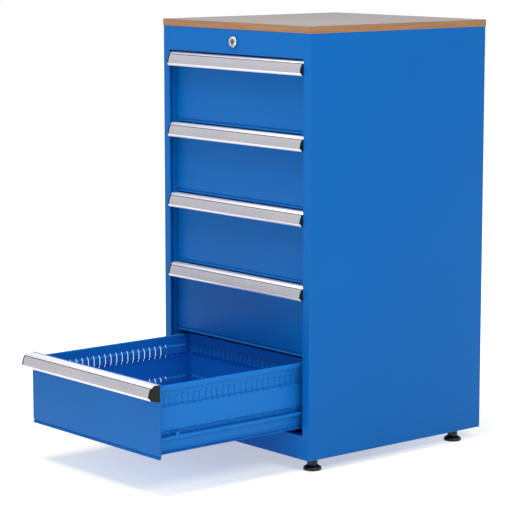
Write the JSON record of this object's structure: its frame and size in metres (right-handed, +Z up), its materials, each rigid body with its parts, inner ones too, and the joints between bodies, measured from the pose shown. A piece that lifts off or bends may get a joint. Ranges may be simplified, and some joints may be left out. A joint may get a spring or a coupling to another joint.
{
  "type": "drawer cabinet",
  "caption": "Blue sheet-steel drawer cabinet with wooden top, aluminium handles, central lock and slotted drawers, the lowest pulled out.",
  "frame": {"origin": "on the floor, under the middle of the whole object with its lowest drawer pulled out", "axes": "+Z up, the drawers open towards -Y, +X to the right as seen from the front"},
  "size_m": [0.549, 1.0204, 1.0446],
  "materials": {
    "body_paint": "powder coat, light blue, fine orange peel, half matt",
    "drawer_paint": "powder coat, light blue, fine orange peel, half matt",
    "board": "raw particle board",
    "beech": "clear lacquered strip, matt",
    "laminate": "taupe grey pressed laminate, fine matt texture",
    "zinc_steel": "zinc plated, satin",
    "anodised_aluminium": "natural anodised extrusion, satin",
    "black_plastic": "moulded, fine matt grain",
    "clear_strip": "clear strip over a plain pale paper insert",
    "nylon": "moulded nylon, natural white",
    "foot_plastic": "moulded, glossy black",
    "lock_chrome": "polished"
  },
  "bodies": {
    "cabinet": {"side_panel_left": "body_paint", "side_panel_right": "body_paint", "back_panel": "body_paint", "front_fascia": "body_paint", "bottom_rail": "body_paint", "base_plate": "body_paint", "top_crossmembers": "body_paint", "uprights_left": "body_paint", "uprights_right": "body_paint", "worktop_board": "board", "worktop_laminate": "laminate", "worktop_edging": "beech", "lock_body": "lock_chrome", "lock_nut": "zinc_steel", "foot_studs": "zinc_steel", "cabinet_rails_left": "zinc_steel", "cabinet_rails_right": "zinc_steel"},
    "drawer_1": {"drawer_1_box": "drawer_paint", "drawer_1_front": "body_paint", "drawer_1_handle": "anodised_aluminium", "drawer_1_handle_caps": "black_plastic", "drawer_1_label_strip": "clear_strip"},
    "drawer_1_rear_rollers": {"drawer_1_rear_rollers": "nylon"},
    "drawer_1_front_rollers": {"drawer_1_front_rollers": "nylon"},
    "drawer_2": {"drawer_2_box": "drawer_paint", "drawer_2_front": "body_paint", "drawer_2_handle": "anodised_aluminium", "drawer_2_handle_caps": "black_plastic", "drawer_2_label_strip": "clear_strip"},
    "drawer_2_rear_rollers": {"drawer_2_rear_rollers": "nylon"},
    "drawer_2_front_rollers": {"drawer_2_front_rollers": "nylon"},
    "drawer_3": {"drawer_3_box": "drawer_paint", "drawer_3_front": "body_paint", "drawer_3_handle": "anodised_aluminium", "drawer_3_handle_caps": "black_plastic", "drawer_3_label_strip": "clear_strip"},
    "drawer_3_rear_rollers": {"drawer_3_rear_rollers": "nylon"},
    "drawer_3_front_rollers": {"drawer_3_front_rollers": "nylon"},
    "drawer_4": {"drawer_4_box": "drawer_paint", "drawer_4_front": "body_paint", "drawer_4_handle": "anodised_aluminium", "drawer_4_handle_caps": "black_plastic", "drawer_4_label_strip": "clear_strip"},
    "drawer_4_rear_rollers": {"drawer_4_rear_rollers": "nylon"},
    "drawer_4_front_rollers": {"drawer_4_front_rollers": "nylon"},
    "drawer_5": {"drawer_5_box": "drawer_paint", "drawer_5_front": "body_paint", "drawer_5_handle": "anodised_aluminium", "drawer_5_handle_caps": "black_plastic", "drawer_5_label_strip": "clear_strip"},
    "drawer_5_rear_rollers": {"drawer_5_rear_rollers": "nylon"},
    "drawer_5_front_rollers": {"drawer_5_front_rollers": "nylon"},
    "lock": {"lock_plug": "lock_chrome", "lock_shaft": "zinc_steel"},
    "lock_bar": {"lock_bar": "zinc_steel"},
    "foot_front_left": {"foot_front_left": "foot_plastic"},
    "foot_front_right": {"foot_front_right": "foot_plastic"},
    "foot_rear_left": {"foot_rear_left": "foot_plastic"},
    "foot_rear_right": {"foot_rear_right": "foot_plastic"}
  },
  "joints": [
    {"name": "drawer_1_slide", "type": "slide", "parent": "cabinet", "child": "drawer_1", "axis": [0, -1, 0], "range_m": [0, 0.442]},
    {"name": "drawer_1_front_roller_spin", "type": "hinge", "parent": "cabinet", "child": "drawer_1_front_rollers", "pos_m": [0, -0.01625, 0.8261], "axis": [1, 0, 0], "range_deg": [0, 1949.1]},
    {"name": "drawer_1_rear_roller_spin", "type": "hinge", "parent": "drawer_1", "child": "drawer_1_rear_rollers", "pos_m": [0, 0.46375, 0.8261], "axis": [1, 0, 0], "range_deg": [0, 1949.1]},
    {"name": "drawer_2_slide", "type": "slide", "parent": "cabinet", "child": "drawer_2", "axis": [0, -1, 0], "range_m": [0, 0.442]},
    {"name": "drawer_2_front_roller_spin", "type": "hinge", "parent": "cabinet", "child": "drawer_2_front_rollers", "pos_m": [0, -0.01625, 0.6511], "axis": [1, 0, 0], "range_deg": [0, 1949.1]},
    {"name": "drawer_2_rear_roller_spin", "type": "hinge", "parent": "drawer_2", "child": "drawer_2_rear_rollers", "pos_m": [0, 0.46375, 0.6511], "axis": [1, 0, 0], "range_deg": [0, 1949.1]},
    {"name": "drawer_3_slide", "type": "slide", "parent": "cabinet", "child": "drawer_3", "axis": [0, -1, 0], "range_m": [0, 0.442]},
    {"name": "drawer_3_front_roller_spin", "type": "hinge", "parent": "cabinet", "child": "drawer_3_front_rollers", "pos_m": [0, -0.01625, 0.4761], "axis": [1, 0, 0], "range_deg": [0, 1949.1]},
    {"name": "drawer_3_rear_roller_spin", "type": "hinge", "parent": "drawer_3", "child": "drawer_3_rear_rollers", "pos_m": [0, 0.46375, 0.4761], "axis": [1, 0, 0], "range_deg": [0, 1949.1]},
    {"name": "drawer_4_slide", "type": "slide", "parent": "cabinet", "child": "drawer_4", "axis": [0, -1, 0], "range_m": [0, 0.442]},
    {"name": "drawer_4_front_roller_spin", "type": "hinge", "parent": "cabinet", "child": "drawer_4_front_rollers", "pos_m": [0, -0.01625, 0.3011], "axis": [1, 0, 0], "range_deg": [0, 1949.1]},
    {"name": "drawer_4_rear_roller_spin", "type": "hinge", "parent": "drawer_4", "child": "drawer_4_rear_rollers", "pos_m": [0, 0.46375, 0.3011], "axis": [1, 0, 0], "range_deg": [0, 1949.1]},
    {"name": "drawer_5_slide", "type": "slide", "parent": "cabinet", "child": "drawer_5", "axis": [0, -1, 0], "range_m": [-0.442, 0]},
    {"name": "drawer_5_front_roller_spin", "type": "hinge", "parent": "cabinet", "child": "drawer_5_front_rollers", "pos_m": [0, -0.01625, 0.1261], "axis": [1, 0, 0], "range_deg": [-1949.1, 0]},
    {"name": "drawer_5_rear_roller_spin", "type": "hinge", "parent": "drawer_5", "child": "drawer_5_rear_rollers", "pos_m": [0, 0.02175, 0.1261], "axis": [1, 0, 0], "range_deg": [-1949.1, 0]},
    {"name": "lock_turn", "type": "hinge", "parent": "cabinet", "child": "lock", "pos_m": [0, -0.06125, 0.9985], "axis": [0, 1, 0], "range_deg": [0, 90]},
    {"name": "lock_bar_lift", "type": "slide", "parent": "cabinet", "child": "lock_bar", "axis": [0, 0, 1], "range_m": [0, 0.01697]},
    {"name": "foot_front_left_turn", "type": "hinge", "parent": "cabinet", "child": "foot_front_left", "pos_m": [-0.25, -0.02825, 0], "axis": [0, 0, 1], "continuous": true},
    {"name": "foot_front_right_turn", "type": "hinge", "parent": "cabinet", "child": "foot_front_right", "pos_m": [0.25, -0.02825, 0], "axis": [0, 0, 1], "continuous": true},
    {"name": "foot_rear_left_turn", "type": "hinge", "parent": "cabinet", "child": "foot_rear_left", "pos_m": [-0.25, 0.43775, 0], "axis": [0, 0, 1], "continuous": true},
    {"name": "foot_rear_right_turn", "type": "hinge", "parent": "cabinet", "child": "foot_rear_right", "pos_m": [0.25, 0.43775, 0], "axis": [0, 0, 1], "continuous": true}
  ],
  "couplings": [
    {"joint": "drawer_1_front_roller_spin", "follows": "drawer_1_slide", "rad_per_m": 76.923},
    {"joint": "drawer_1_rear_roller_spin", "follows": "drawer_1_slide", "rad_per_m": 76.923},
    {"joint": "drawer_2_front_roller_spin", "follows": "drawer_2_slide", "rad_per_m": 76.923},
    {"joint": "drawer_2_rear_roller_spin", "follows": "drawer_2_slide", "rad_per_m": 76.923},
    {"joint": "drawer_3_front_roller_spin", "follows": "drawer_3_slide", "rad_per_m": 76.923},
    {"joint": "drawer_3_rear_roller_spin", "follows": "drawer_3_slide", "rad_per_m": 76.923},
    {"joint": "drawer_4_front_roller_spin", "follows": "drawer_4_slide", "rad_per_m": 76.923},
    {"joint": "drawer_4_rear_roller_spin", "follows": "drawer_4_slide", "rad_per_m": 76.923},
    {"joint": "drawer_5_front_roller_spin", "follows": "drawer_5_slide", "rad_per_m": 76.923},
    {"joint": "drawer_5_rear_roller_spin", "follows": "drawer_5_slide", "rad_per_m": 76.923},
    {"joint": "lock_bar_lift", "follows": "lock_turn", "m_per_rad": 0.010804}
  ]
}
